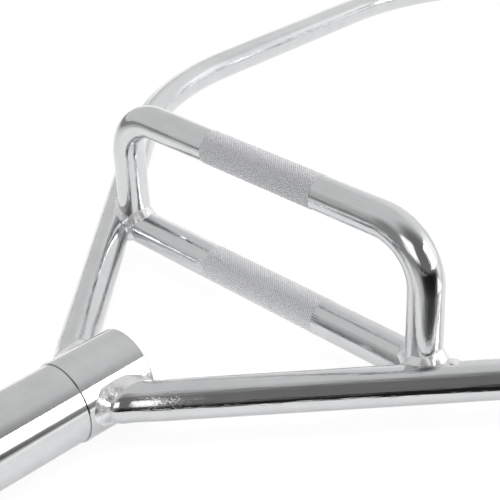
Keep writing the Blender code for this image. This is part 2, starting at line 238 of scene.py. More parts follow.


# Chrome over dressed weld metal: the plating keeps the bead's small lumps and pinholes, so its reflections
# break up where the bar's stay whole.
# Its colour is painted lighter than chrome reflects, as painted light, and its pinholes are painted dark, as
# painted shade.
weldPlate = {
    "shades": {6: linearColour("#D6D7D8"), 7: linearColour("#F2F2F3")}, "pitPaintedShade": linearColour("#8A8B8D"),
    "rough": {"To Min": 0.26, "To Max": 0.52},
    "lump": {"Scale": perSize(2.6), "Detail": 3.0, "Roughness": 0.55}, "lumpDepth": 0.00022,
    "pit": {"Scale": perSize(1.6)}, "pitSpan": {"From Min": 0.06, "From Max": 0.16}, "pitDepth": 0.00012,
}


def weldChrome():
    material, tree, shader, place = newMaterial("chrome_over_dressed_weld")
    lump = addNode(tree, "ShaderNodeTexNoise", {"Vector": place, **weldPlate["lump"]})
    cell = addNode(tree, "ShaderNodeTexVoronoi", {"Vector": place, **weldPlate["pit"]}, "Distance")
    pit = addNode(tree, "ShaderNodeMapRange", {"Value": cell, **weldPlate["pitSpan"]})
    # the bead's colours, lighter than chrome can reflect, are painted light
    skin = addNode(tree, "ShaderNodeMix", {0: lump, **weldPlate["shades"]}, 2, data_type="RGBA")
    # the pinholes take a dark colour: painted shade
    pitted = {0: pit, 6: weldPlate["pitPaintedShade"], 7: skin}
    colour = addNode(tree, "ShaderNodeMix", pitted, 2, data_type="RGBA")
    rough = addNode(tree, "ShaderNodeMapRange", {"Value": lump, **noiseSpan, **weldPlate["rough"]})
    bump = addNode(tree, "ShaderNodeBump", {"Distance": weldPlate["lumpDepth"], "Height": lump})
    pits = {"Distance": weldPlate["pitDepth"], "Height": pit}
    bump = addNode(tree, "ShaderNodeBump", {"Normal": bump, **pits})
    setInputs(tree, shader, {"Metallic": 1.0, "Base Color": colour, "Roughness": rough, "Normal": bump})
    return material


# Ground steel, turned brass-coloured bronze and blackened spring steel for the bearing pieces
# inside the sleeves: fine lathe or grinding lines round the X axis give each its satin look.
bearingFinishes = {
    "grain": {"Scale": perSize(1.5), "Detail": 4.0}, "lineDepth": 0.000004,
    "line": {"roundMm": 40.0, "detail": 3.0, "roughness": 0.5},
    "ground_steel": {
        "name": "ground_carbon_steel", "lineMm": 0.15, "rough": {"To Min": 0.24, "To Max": 0.36},
        "shades": {6: linearColour("#8A8D92"), 7: linearColour("#A9ACB0")},
    },
    "bronze": {
        "name": "sintered_bronze", "lineMm": 0.3, "rough": {"To Min": 0.34, "To Max": 0.48},
        "shades": {6: linearColour("#8C6A3A"), 7: linearColour("#B08D57")},
    },
    "spring_steel": {
        "name": "black_oxide_spring_steel", "lineMm": 0.25, "rough": {"To Min": 0.36, "To Max": 0.5},
        "shades": {6: linearColour("#1B1C1E"), 7: linearColour("#2B2C2F")},
    },
}


def turnedMetal(finish):
    look = bearingFinishes[finish]
    material, tree, shader, place = newMaterial(look["name"])
    lines = stretchedNoise(tree, place, look["lineMm"], **bearingFinishes["line"])
    grain = addNode(tree, "ShaderNodeTexNoise", {"Vector": place, **bearingFinishes["grain"]})
    colour = addNode(tree, "ShaderNodeMix", {0: grain, **look["shades"]}, 2, data_type="RGBA")
    rough = addNode(tree, "ShaderNodeMapRange", {"Value": lines, **noiseSpan, **look["rough"]})
    bump = addNode(tree, "ShaderNodeBump", {"Distance": bearingFinishes["lineDepth"], "Height": lines})
    setInputs(tree, shader, {"Metallic": 1.0, "Base Color": colour, "Roughness": rough, "Normal": bump})
    return material


# Injection-moulded black polyethylene: a fine spark-eroded grain breaks up its soft shine.
capPlastic = {
    "shades": {6: linearColour("#1C1D1F"), 7: linearColour("#26272A")}, "refraction": 1.51,
    "rough": {"To Min": 0.42, "To Max": 0.6},
    "grain": {"Scale": perSize(0.45), "Detail": 2.0}, "grainDepth": 0.00003,
    "cloud": {"Scale": perSize(12.0), "Detail": 3.0},
}


def mouldedPlastic():
    material, tree, shader, place = newMaterial("moulded_black_polyethylene")
    grain = addNode(tree, "ShaderNodeTexNoise", {"Vector": place, **capPlastic["grain"]})
    cloud = addNode(tree, "ShaderNodeTexNoise", {"Vector": place, **capPlastic["cloud"]})
    colour = addNode(tree, "ShaderNodeMix", {0: cloud, **capPlastic["shades"]}, 2, data_type="RGBA")
    rough = addNode(tree, "ShaderNodeMapRange", {"Value": cloud, **noiseSpan, **capPlastic["rough"]})
    bump = addNode(tree, "ShaderNodeBump", {"Distance": capPlastic["grainDepth"], "Height": grain})
    setInputs(tree, shader, {
        "IOR": capPlastic["refraction"], "Base Color": colour, "Roughness": rough, "Normal": bump,
    })
    return material


finishes = {
    "drawn_chrome": brightChrome("drawn"),
    "turned_chrome": brightChrome("ground"),
    "turned_end": brightChrome("turnedEnd"),
    "knurling": knurledChrome(),
    "weld": weldChrome(),
    "ground_steel": turnedMetal("ground_steel"),
    "bronze": turnedMetal("bronze"),
    "spring_steel": turnedMetal("spring_steel"),
    "black_plastic": mouldedPlastic(),
}
print("finishes made")


# Surfaces on a grid. Distances are compared with a little slack for rounding.
slack = 1e-12


def unit(vectors):
    # each vector over its own length
    return vectors / np.linalg.norm(vectors, axis=-1, keepdims=True)


def pathStops(corners, bendRadii):
    # distances along the path at its start, at each arc's start and end, and at its end
    corners = np.asarray(corners, float)
    steps = np.diff(corners, axis=0)
    headings = unit(steps)
    turns = np.arccos(np.clip(np.sum(headings[:-1] * headings[1:], axis=1), -1.0, 1.0))
    reaches = bendRadii * np.tan(turns / 2)
    straights = np.linalg.norm(steps, axis=1)
    straights[:-1] -= reaches
    straights[1:] -= reaches
    lengths = np.zeros(2 * len(straights) - 1)
    lengths[0::2] = straights
    lengths[1::2] = bendRadii * turns
    return np.concatenate([[0.0], np.cumsum(lengths)])


def bentPath(corners, bendRadii, runs):
    # Straight runs joined by arcs that touch them. On a straight a point is its start plus heading
    # times distance, on an arc it is centre + spoke * cos(turn) + heading * radius * sin(turn).
    corners = np.asarray(corners, float)
    bendRadii = np.broadcast_to(bendRadii, len(corners) - 2)
    stops = pathStops(corners, bendRadii)
    runs = np.clip(runs, stops[0], stops[-1])
    headings = unit(np.diff(corners, axis=0))
    points = np.zeros((len(runs), corners.shape[1]))
    tangents = np.zeros_like(points)
    start = corners[0]
    for leg, heading in enumerate(headings):
        inside = (runs >= stops[2 * leg] - slack) & (runs <= stops[2 * leg + 1] + slack)
        points[inside] = start + heading * (runs[inside] - stops[2 * leg])[:, None]
        tangents[inside] = heading
        if leg == len(headings) - 1:
            break
        radius = bendRadii[leg]
        onwards = headings[leg + 1]
        turning = math.acos(np.clip(heading @ onwards, -1.0, 1.0))
        arcStart = corners[leg + 1] - heading * radius * math.tan(turning / 2)
        centre = corners[leg + 1] + unit(onwards - heading) * radius / math.cos(turning / 2)
        spoke = arcStart - centre
        inside = (runs > stops[2 * leg + 1]) & (runs < stops[2 * leg + 2])
        turn = ((runs[inside] - stops[2 * leg + 1]) / radius)[:, None]
        points[inside] = centre + spoke * np.cos(turn) + heading * radius * np.sin(turn)
        tangents[inside] = heading * np.cos(turn) - spoke / radius * np.sin(turn)
        start = corners[leg + 1] + onwards * radius * math.tan(turning / 2)
    return points, tangents


def ringRuns(stops, straightStep, bendStep, margin=0.0):
    # where rings go: widely spaced on straights, closely on bends, with one just beside each bend
    runs = [stops]
    for number, (first, last) in enumerate(zip(stops, stops[1:])):
        step = bendStep if number % 2 else straightStep
        count = max(int(math.ceil((last - first) / step)), 1)
        runs.append(np.linspace(first, last, count + 1))
        if margin and number % 2 == 0 and last - first > 3 * margin:
            runs.append(np.array([first + margin, last - margin]))
    return np.unique(np.round(np.concatenate(runs), 9))


def ringAngles(count):
    # even steps round a full turn
    return np.arange(count) * math.tau / count


def pathEnds(runs):
    # of either end: its side, its ring's row, its pole's place, and each ring's distance from it
    return ((-1, 0, "first", runs), (1, -1, "last", runs[-1] - runs))


def sweep(path, tangents, radii, angles, upright):
    # round the path: centre + radius * (sideways * cos(angle) + upright * sin(angle)),
    # where sideways is square to the path and to the upright of the path's plane
    sideways = np.cross(tangents, upright)
    around = sideways[:, None] * np.cos(angles)[None, :, None] + upright * np.sin(angles)[None, :, None]
    return path[:, None] + around * radii[..., None]


def trimEnd(grid, runs, heading, trims, length):
    # slides the rings near one end along the heading, by each angle's own amount at the end
    # and fading evenly to nothing over the given length, so that the end lies on another surface
    fade = np.clip(1.0 - runs / length, 0.0, 1.0)
    return grid + heading * (fade[:, None] * trims[None, :])[..., None]


def turned(profile, angles):
    # the profile's (x, radius) pairs turned about the bar's axis
    x = np.broadcast_to(profile[:, :1], (len(profile), len(angles)))
    across = profile[:, 1:] * np.cos(angles)
    up = bar["axisZ"] + profile[:, 1:] * np.sin(angles)
    return np.stack([x, across, up], axis=-1)


# edges that turn more than this, in degrees, are shaded as edges
sharpAngles = {"bar": 25.0, "turned": 50.0, "weld": 60.0}


def gridPiece(name, grid, columnRun, kind, rowLoop=False, poles=(), knurled=None, crest=None):
    # Quads between neighbouring rows and columns, the columns closed round, the rows too if asked,
    # and a fan to each pole. Knurled rows are split along the grooves and take the second finish.
    # The UV map holds distances in metres: along the rows, then round the columns.
    rows, columns = grid.shape[:2]
    vertices = grid.reshape(-1, 3)
    rowFirst = np.arange(rows if rowLoop else rows - 1)
    rowNext = (rowFirst + 1) % rows
    column = np.arange(columns)
    columnNext = (column + 1) % columns
    first, second = np.meshgrid(rowFirst, column, indexing="ij")
    quads = np.stack([
        rowFirst[:, None] * columns + column, rowNext[:, None] * columns + column,
        rowNext[:, None] * columns + columnNext, rowFirst[:, None] * columns + columnNext,
    ], axis=-1).reshape(-1, 4)
    steps = np.linalg.norm(np.diff(grid.mean(axis=1), axis=0), axis=-1)
    if rowLoop:
        loop = np.concatenate([grid, grid[:1]])
        steps = np.linalg.norm(np.diff(loop[:, 0], axis=0), axis=-1)
    rowRun = np.concatenate([[0.0], np.cumsum(steps)])
    columnEdge = np.linspace(0.0, columnRun, columns + 1)
    lastRun = rowRun[first + 1]
    uvQuads = np.stack([
        np.stack([rowRun[first], columnEdge[second]], axis=-1),
        np.stack([lastRun, columnEdge[second]], axis=-1),
        np.stack([lastRun, columnEdge[second + 1]], axis=-1),
        np.stack([rowRun[first], columnEdge[second + 1]], axis=-1),
    ], axis=-2).reshape(-1, 4, 2)
    groups = []
    if knurled is None:
        groups.append((quads, uvQuads))
    else:
        cut = np.repeat(knurled, columns)
        row = first - np.flatnonzero(knurled)[0]
        rising = ((row + second + 1) % 4 == 0) | ((row + second + 1) % 4 == 2) & ((row - second) % 4 != 0)
        rising = rising.reshape(-1)
        groups.append((quads[~cut], uvQuads[~cut]))
        for chosen, halves in ((~rising, ((0, 1, 2), (0, 2, 3))), (rising, ((0, 1, 3), (1, 2, 3)))):
            for half in halves:
                groups.append((quads[cut & chosen][:, half], uvQuads[cut & chosen][:, half]))
    for place, pole in poles:
        rim = column if place == "first" else (rows - 1) * columns + column
        rimNext = np.roll(rim, -1)
        centre = np.full(columns, len(vertices))
        vertices = np.concatenate([vertices, [pole]])
        order = (rimNext, rim, centre) if place == "first" else (rim, rimNext, centre)
        fan = np.stack(order, axis=-1)
        flat = vertices[fan] - pole
        groups.append((fan, np.stack([flat[..., 0] + flat[..., 1], flat[..., 2]], axis=-1)))
    triangles = np.concatenate([
        np.concatenate([face[:, :3], face[:, [0, 2, 3]]]) if face.shape[1] == 4 else face
        for face, uv in groups
    ])
    # six times the volume inside, which is negative where the faces point inwards
    corner = vertices[triangles]
    volume = np.sum(corner[:, 0] * np.cross(corner[:, 1], corner[:, 2]))
    if volume < 0:
        groups = [(face[:, ::-1], uv[:, ::-1]) for face, uv in groups]
    mesh = bpy.data.meshes.new(name)
    mesh.from_pydata(vertices.tolist(), [], [row for face, uv in groups for row in face.tolist()])
    layer = mesh.uv_layers.new(name="surface")
    layer.data.foreach_set("uv", np.concatenate([uv.reshape(-1) for face, uv in groups]))
    smooth = np.ones(len(mesh.polygons), bool)
    finish = np.zeros(len(mesh.polygons), np.int32)
    if knurled is not None:
        # the knurled halves are the four groups after the plain quads
        cutFaces = slice(len(groups[0][0]), sum(len(face) for face, uv in groups[:5]))
        smooth[cutFaces] = False
        finish[cutFaces] = 1
        heights = mesh.attributes.new("crest", "FLOAT", "POINT")
        heights.data.foreach_set("value", np.concatenate([crest.reshape(-1), np.zeros(len(poles))]))
    mesh.polygons.foreach_set("use_smooth", smooth)
    mesh.polygons.foreach_set("material_index", finish)
    mesh.set_sharp_from_angle(angle=math.radians(sharpAngles[kind]))
    return mesh


# Where the pieces of the weldment meet
def railDirection(side, lean):
    # from the hub of one side outwards along its front or rear rail: (-cosine, sine, 0) of its angle
    return np.array([-side * math.cos(bar["railAngle"]), lean * math.sin(bar["railAngle"]), 0.0])


def crossingPoint(side):
    # where the axes of one side's two rails cross on the bar's axis
    return np.array([side * bar["crossingX"], 0.0, bar["axisZ"]])


def railAxisY(x):
    # distance of a slanted rail's axis from the centre line, at this distance from the middle:
    # the way to the crossing times the tangent of the rail's angle
    return (bar["crossingX"] - x) * math.tan(bar["railAngle"])


def hubTravel(side, lean, offsets, radius):
    # how far along the rail a line at this offset from its axis meets the hub's cylinder: there
    # the y of crossing point, offset and travel together is the root of radius squared less z squared
    direction = railDirection(side, lean)
    reach = np.sqrt(radius**2 - offsets[..., 2] ** 2)
    return (lean * reach - offsets[..., 1]) / direction[1]


def footHeight(x, y, sink=0.0):
    # height above the bar's axis of the low handle and the slanted rail together, where a leg stands;
    # the two heights are joined by the sixth root of the sum of their sixth powers
    fromRail = (railAxisY(bar["handleX"] + x) - y) * math.cos(bar["railAngle"])
    onHandle = np.sqrt(np.clip((bar["lowRadius"] - sink) ** 2 - x**2, 0.0, None))
    onRail = np.sqrt(np.clip((bar["railRadius"] - sink) ** 2 - fromRail**2, 0.0, None))
    return (onHandle**6 + onRail**6) ** (1 / 6)


def footShare(x, y):
    # share of the low handle's height, to the sixth power, in the sum that a leg stands on; its
    # square is kept just above nothing, so that the sum is too
    fromRail = (railAxisY(bar["handleX"] + x) - y) * math.cos(bar["railAngle"])
    onHandle = np.clip(bar["lowRadius"] ** 2 - x**2, 1e-9, None) ** 3
    onRail = np.clip(bar["railRadius"] ** 2 - fromRail**2, 0.0, None) ** 3
    return onHandle / (onHandle + onRail)


# The zone round a weld's middle that was dressed by hand, in metres; hubRun is how far along the
# rail the hub's weld lies
dressedZone = {"hubRun": 0.062, "inner": 0.010, "outer": 0.030}


def markDressed(mesh):
    # 1 up to the inner distance from the nearest weld's middle, fading evenly to 0 at the outer one
    places = np.zeros(len(mesh.vertices) * 3)
    mesh.vertices.foreach_get("co", places)
    junctionZ = bar["axisZ"] + bar["lowRadius"] / 2
    spots = []
    for side, lean in ((-1, -1), (-1, 1), (1, -1), (1, 1)):
        spots.append(crossingPoint(side) + railDirection(side, lean) * dressedZone["hubRun"])
        spots.append(np.array([side * bar["handleX"], lean * bar["legY"], junctionZ]))
    gaps = np.linalg.norm(places.reshape(-1, 1, 3) - np.array(spots), axis=-1).min(axis=1)
    share = np.clip((dressedZone["outer"] - gaps) / (dressedZone["outer"] - dressedZone["inner"]), 0.0, 1.0)
    mesh.attributes.new("dressed", "FLOAT", "POINT").data.foreach_set("value", share)


def addPiece(name, mesh, body, slot, node, finishNames):
    # a piece in place of the CAD node, on the CAD node's body
    for finishName in finishNames:
        mesh.materials.append(finishes[finishName])
    if slot == "chrome":
        markDressed(mesh)
    piece = linkedObject(name, mesh)
    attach(piece, body)
    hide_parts(node)


# Rails: round bar bent twice, with fish-mouthed ends on the hubs
rail = {
    "sides": 96, "straightStep": 0.02, "bendStep": 0.004,
    "startRun": 0.045, "sink": 0.0006, "trimLength": 0.03,
}
# Before welding, the bar's end was ground round so that it tucks in under the bead: the radius falls
# along part of an ellipse. Dressing the weld left a shallow hollow in the bar beside it. From, to,
# reach and the hollow's places are distances from the hub.
nose = {
    "from": 0.0116, "to": 0.0056, "drop": 0.0034, "turn": 0.88, "step": 0.0006, "reach": 0.05,
    "hollowFrom": 0.037, "hollowMiddle": 0.019, "hollowTo": 0.009, "hollowDepth": 0.00038,
}


def noseDrop(distance):
    # drop * (1 - square root of (1 - turn squared)), where turn goes from 0 at the outer end to its
    # full value, plus a hollow that is a raised cosine on either side of its middle
    turn = np.clip((nose["from"] - distance) / (nose["from"] - nose["to"]), 0.0, 1.0) * nose["turn"]
    hollowEnd = np.where(distance > nose["hollowMiddle"], nose["hollowFrom"], nose["hollowTo"])
    share = np.clip((distance - nose["hollowMiddle"]) / (hollowEnd - nose["hollowMiddle"]), 0.0, 1.0)
    hollow = nose["hollowDepth"] * (1.0 + np.cos(math.pi * share)) / 2
    return nose["drop"] * (1.0 - np.sqrt(1.0 - turn**2)) + hollow


def addRail(name, lean):
    # swept along the bent axis from hub to hub, then each end is slid onto its hub and thinned
    apexX = bar["crossingX"] - bar["railHalfWidth"] / math.tan(bar["railAngle"])
    startLeft = crossingPoint(-1) + railDirection(-1, lean) * rail["startRun"]
    startRight = crossingPoint(1) + railDirection(1, lean) * rail["startRun"]
    across = lean * bar["railHalfWidth"]
    corners = [startLeft, (-apexX, across, bar["axisZ"]), (apexX, across, bar["axisZ"]), startRight]
    stops = pathStops(corners, np.full(2, bar["railBendRadius"]))
    close = np.arange(0.0, nose["reach"], nose["step"])
    runs = np.unique(np.concatenate([
        ringRuns(stops, rail["straightStep"], rail["bendStep"])[1:-1], close, stops[-1] - close,
    ]))
    path, tangents = bentPath(corners, bar["railBendRadius"], runs)
    angles = ringAngles(rail["sides"])
    radii = np.full((len(runs), len(angles)), bar["railRadius"])
    grid = sweep(path, tangents, radii, angles, zAxis)
    poles = []
    for side, row, place, fromEnd in pathEnds(runs):
        direction = railDirection(side, lean)
        offsets = grid[row] - path[row]
        saddle = hubTravel(side, lean, offsets, bar["hubRadius"] - rail["sink"])
        grid = trimEnd(grid, fromEnd, direction, saddle - rail["startRun"], rail["trimLength"])
        # by how much the radius falls at each point's distance from the hub
        travelled = (grid - crossingPoint(side)) @ direction
        thinner = np.where(fromEnd[:, None] <= nose["reach"], noseDrop(travelled - saddle[None, :]), 0.0)
        onAxis = crossingPoint(side) + travelled[..., None] * direction
        thinned = onAxis + (grid - onAxis) * (1.0 - thinner / bar["railRadius"])[..., None]
        grid = np.where((thinner > 0.0)[..., None], thinned, grid)
        middle = hubTravel(side, lean, np.zeros(3), bar["hubRadius"] - rail["sink"])
        poles.append((place, crossingPoint(side) + direction * middle))
    mesh = gridPiece(name, grid, math.tau * bar["railRadius"], "bar", poles=poles)
    addPiece(f"{name}_bar", mesh, "weldment", "chrome", name, ["drawn_chrome"])


for end, lean in ends:
    addRail(f"{end}_rail", lean)
print("rails bent")


# Handles: the knurl is a lattice of flat-topped diamonds between two crossing sets of helical
# grooves. The real pitch is nearer 1.2 mm, and it is drawn a little coarser so that it shows.
# The grip ends in a ring endRun past its last row, and within clearRun no plain ring lies.
knurl = {"around": 42, "depth": 0.00034, "rise": 0.00014, "endRun": 0.0005, "clearRun": 0.00075}
handle = {
    "lowKnurlY": (-0.0516, 0.0478), "raisedKnurlY": (-0.0510, 0.0444),
    "straightStep": 0.012, "bendStep": 0.0012, "sink": 0.0006, "trimLength": 0.02,
}


def knurlRuns(radius, fromRun, toRun):
    # rows a quarter pitch apart; the pitch is a whole share of the bar's girth
    quarter = math.tau * radius / knurl["around"] / 4
    count = int(round((toRun - fromRun) / quarter / 4)) * 4
    return np.linspace(fromRun, toRun, count + 1)


def knurlRadii(runs, angles, radius, rows):
    # On the quarter-pitch grid a groove passes where the row and column numbers add up, or differ,
    # by a multiple of four. The rest is crest, at the radius plus the rise.
    radii = np.full((len(runs), len(angles)), radius)
    crest = np.full(radii.shape, 1.0)
    row = np.arange(np.count_nonzero(rows))[:, None]
    column = np.arange(len(angles))
    crest[rows] = ((row + column) % 4 != 0) & ((row - column) % 4 != 0)
    radii[rows] = radius + knurl["rise"] - knurl["depth"] * (1.0 - crest[rows])
    return radii, crest


def knurledTube(corners, bendRadii, radius, knurlY, upright):
    # rings over the whole bar, with the knurl's own rows in place of the rings on the grip, whose
    # ends are given from the bar's middle
    stops = pathStops(corners, bendRadii)
    gripFrom, gripTo = (stops[-1] / 2 + y for y in knurlY)
    plain = ringRuns(stops, handle["straightStep"], handle["bendStep"])
    plain = plain[(plain < gripFrom - knurl["clearRun"]) | (plain > gripTo + knurl["clearRun"])]
    cut = knurlRuns(radius, gripFrom, gripTo)
    shoulders = [gripFrom - knurl["endRun"], gripTo + knurl["endRun"]]
    runs = np.sort(np.concatenate([plain, cut, shoulders]))
    rows = (runs >= gripFrom - slack) & (runs <= gripTo + slack)
    path, tangents = bentPath(corners, bendRadii, runs)
    angles = ringAngles(4 * knurl["around"])
    radii, crest = knurlRadii(runs, angles, radius, rows)
    grid = sweep(path, tangents, radii, angles, upright)
    knurledRows = rows[:-1] & rows[1:]
    return grid, path, runs, knurledRows, crest


def addLowHandle(sideName, side):
    # a straight bar whose ends are slid onto the two rails' cylinders
    x = side * bar["handleX"]
    endY = railAxisY(bar["handleX"]) - bar["railRadius"] * 2
    corners = [(x, -endY, bar["axisZ"]), (x, endY, bar["axisZ"])]
    grid, path, runs, knurledRows, crest = knurledTube(
        corners, np.zeros(0), bar["lowRadius"], handle["lowKnurlY"], zAxis,
    )
    poles = []
    for lean, row, place, fromEnd in pathEnds(runs):
        offsets = grid[row] - path[row]
        railReach = bar["railRadius"] - handle["sink"]
        depth = np.sqrt(np.clip(railReach**2 - offsets[:, 2] ** 2, 0.0, None)) / math.cos(bar["railAngle"])
        meets = railAxisY(bar["handleX"] + side * offsets[:, 0]) - depth
        grid = trimEnd(grid, fromEnd, lean * yAxis, meets - endY, handle["trimLength"])
        middleY = railAxisY(bar["handleX"]) - railReach / math.cos(bar["railAngle"])
        poles.append((place, np.array([x, lean * middleY, bar["axisZ"]])))
    name = f"{sideName}_low_handle"
    mesh = gridPiece(name, grid, math.tau * bar["lowRadius"], "bar", False, poles, knurledRows, crest)
    addPiece(f"{name}_bar", mesh, "weldment", "chrome", name, ["drawn_chrome", "knurling"])


def addRaisedHandle(sideName, side):
    # a bar bent twice, whose feet are slid down onto the low handle and the rail
    x = side * bar["handleX"]
    radius = bar["raisedRadius"] - knurl["rise"]
    startZ = bar["axisZ"] + bar["lowRadius"] * 2
    legY = bar["legY"]
    corners = [(x, -legY, startZ), (x, -legY, bar["gripZ"]), (x, legY, bar["gripZ"]), (x, legY, startZ)]
    bends = np.full(2, bar["legBendRadius"])
    grid, path, runs, knurledRows, crest = knurledTube(corners, bends, radius, handle["raisedKnurlY"], xAxis)
    poles = []
    for lean, row, place, fromEnd in pathEnds(runs):
        offsets = grid[row] - path[row]
        height = footHeight(side * offsets[:, 0], legY + lean * offsets[:, 1], handle["sink"])
        grid = trimEnd(grid, fromEnd, -zAxis, startZ - bar["axisZ"] - height, handle["trimLength"])
        middle = footHeight(np.zeros(1), np.full(1, legY), handle["sink"])[0]
        poles.append((place, np.array([x, lean * legY, bar["axisZ"] + middle])))
    name = f"{sideName}_raised_handle"
    mesh = gridPiece(name, grid, math.tau * radius, "bar", False, poles, knurledRows, crest)
    addPiece(f"{name}_bar", mesh, "weldment", "chrome", name, ["drawn_chrome", "knurling"])


for sideName, side in sides:
    addLowHandle(sideName, side)
    addRaisedHandle(sideName, side)
print("handles knurled")


# Hubs, plate sleeves and end caps, turned on the bar's axis. An outline that closes on itself
# starts and ends in the middle of its bore, apart by the closing gap.
lathe = {"straightStep": 0.01, "roundStep": 0.00012, "margin": 0.0002, "boreGap": 0.0003, "closing": 0.0001}
collar = {"sides": 160, "edgeRound": 0.0009, "seamRound": 0.00022, "boreRound": 0.0002, "satinAndShadeReach": 0.0008}
sleeveTube = {
    "sides": 160, "endRound": 0.0014, "seamRound": 0.00018, "closer": 0.00015,
    "innerBoreRound": 0.0003, "outerBoreRound": 0.0004,
}
# the cap's outer face is a dish inside a rim, with the moulding gate's low boss in its middle
endCap = {
    "sides": 128, "backHole": 0.001, "rimWidth": 0.0032, "dishDepth": 0.0011, "dishSlope": 0.0006,
    "gateRadius": 0.0022, "gateHeight": 0.0003, "gateSlope": 0.0004, "frontHole": 0.0004,
    "rounds": (0.0004, 0.0009, 0.0005, 0.0005, 0.0002, 0.0002),
}


def turnedProfile(corners, rounds):
    # the corners' outline with each inner corner rounded, as (x, radius) pairs
    rounds = np.asarray(rounds, float)
    runs = ringRuns(pathStops(corners, rounds), lathe["straightStep"], lathe["roundStep"], lathe["margin"])
    return bentPath(corners, rounds, runs)[0]


def mirrored(mesh, side):
    # drawn for the right-hand end; the left-hand one is turned half round about the upright axis
    if side < 0:
        mesh.transform(Matrix.Rotation(math.pi, 4, "Z"))
    return mesh


def ringMesh(name, start, end, bore, outer, rounds, sides):
    # a rectangle's outline between the two ends and the two radii, turned about the axis
    middle = (start + end) / 2
    corners = [
        (middle, bore), (start, bore), (start, outer), (end, outer), (end, bore),
        (middle + lathe["closing"], bore),
    ]
    grid = turned(turnedProfile(corners, rounds), ringAngles(sides))
    return gridPiece(name, grid, math.tau * outer, "turned", rowLoop=True)


def addHub(sideName, side):
    # a ring round the spindle's root, from the hub's inner end to the seam
    name = f"{sideName}_hub"
    rounds = [collar["boreRound"], collar["edgeRound"], collar["seamRound"], collar["boreRound"]]
    mesh = ringMesh(
        name, bar["hubInnerX"], bar["seamX"], bar["rootRadius"] + lathe["boreGap"], bar["hubRadius"], rounds,
        collar["sides"],
    )
    # the faces at the inner end take the second finish, whose darker colour is painted shade along the rim
    centres = np.zeros(len(mesh.polygons) * 3)
    mesh.polygons.foreach_get("center", centres)
    atEnd = centres[0::3] < bar["hubInnerX"] + collar["satinAndShadeReach"]
    mesh.polygons.foreach_set("material_index", atEnd.astype(np.int32))
    finishNames = ["turned_chrome", "turned_end"]
    addPiece(f"{name}_collar", mirrored(mesh, side), "weldment", "chrome", name, finishNames)


def addSleeve(sideName, side):
    # a ring as wide inside as the cap, from a little nearer the seam than the CAD's to the bar's end
    name = f"{sideName}_sleeve"
    rounds = [sleeveTube[key] for key in ("innerBoreRound", "seamRound", "endRound", "outerBoreRound")]
    mesh = ringMesh(
        name, bar["sleeveStartX"] - sleeveTube["closer"], bar["sleeveEndX"],
        bar["capRadius"] + lathe["boreGap"], bar["sleeveRadius"], rounds, sleeveTube["sides"],
    )
    node = f"{sideName}_plate_sleeve"
    addPiece(f"{name}_tube", mirrored(mesh, side), name, "chrome", node, ["turned_chrome"])


def addCap(sideName, side):
    # a plug turned from its back over the rim and down into the dish
    radius, end = bar["capRadius"], bar["sleeveEndX"]
    inner = radius - endCap["rimWidth"]
    floor = end - endCap["dishDepth"]
    gateTop = floor + endCap["gateHeight"]
    corners = [
        (bar["capInnerX"], endCap["backHole"]), (bar["capInnerX"], radius), (end, radius), (end, inner),
        (floor, inner - endCap["dishSlope"]), (floor, endCap["gateRadius"]),
        (gateTop, endCap["gateRadius"] - endCap["gateSlope"]), (gateTop, endCap["frontHole"]),
    ]
    profile = turnedProfile(corners, endCap["rounds"])
    grid = turned(profile, ringAngles(endCap["sides"]))
    # a fan closes the small hole that the outline leaves at either end
    poles = [
        (place, np.array([profile[row, 0], 0.0, bar["axisZ"]])) for place, row in (("first", 0), ("last", -1))
    ]
    mesh = gridPiece(f"{sideName}_cap", grid, math.tau * radius, "turned", poles=poles)
    addPiece(
        f"{sideName}_cap_plug", mirrored(mesh, side), f"{sideName}_sleeve", "black_plastic",
        f"{sideName}_end_cap", ["black_plastic"],
    )


for sideName, side in sides:
    addHub(sideName, side)
    addSleeve(sideName, side)
    addCap(sideName, side)
print("sleeves turned")


# Welds: a lumpy fillet carried round the line where two bars meet. Waves are the fewest and the
# most ups and downs that a variation has in one round.
weld = {
    "steps": 320, "across": 14, "fullness": 0.66, "crown": 0.0006, "embed": 0.00025,
    "buriedToe": 0.001, "buriedMiddle": 0.0016, "toeWander": 0.17, "toeWaves": (2, 14),
    "rippleMm": 2.4, "rippleHeight": 0.00001, "rippleLag": 2.2,
    "lumpHeight": 0.00034, "lumpWaves": (5, 26), "tiltShare": 0.6, "tiltWaves": (9, 40),
    "seeds": {"left": 11, "right": 911}, "seedStep": 100, "buttSeed": 10, "footSeed": 20,
}
# full width where the sine of the angle round the rail is above fullSine, lowShare of it below
# lowSine, and wider by rearExtra along the top of the rear rail
hubWeld = {
    "onRail": 0.0062, "onHub": 0.0042, "seamMargin": 0.0005, "endMargin": 0.001, "lumpShare": 0.12,
    "lowShare": 0.3, "lowSine": -0.62, "fullSine": 0.13, "rearExtra": 0.75,
}
buttWeld = {"onHandle": 0.0043, "onRail": 0.0038, "lumpShare": 0.8}
footWeld = {"onLeg": 0.0046, "onFoot": 0.0050, "lumpShare": 0.8}


def wander(angles, seed, fewest, most):
    # smooth random variation round a loop, about -1 to 1: a sum of waves with seeded sizes and phases
    rng = np.random.default_rng(seed)
    waves = np.arange(fewest, most + 1)
    sizes = rng.normal(size=len(waves)) / np.sqrt(waves)
    phases = rng.uniform(0, math.tau, len(waves))
    total = np.sum(sizes * np.cos(angles[..., None] * waves + phases), axis=-1)
    return total / np.abs(total).max()


def ontoCylinder(points, axisPoint, direction, radius):
    # moved straight towards or away from the cylinder's axis until they lie on its surface
    along = (points - axisPoint) @ direction
    foot = axisPoint + along[..., None] * direction
    return foot + unit(points - foot) * radius


def railNormals(side, lean, points):
    # straight away from the rail's axis
    direction = railDirection(side, lean)
    fromCrossing = points - crossingPoint(side)
    return unit(fromCrossing - (fromCrossing @ direction)[:, None] * direction)


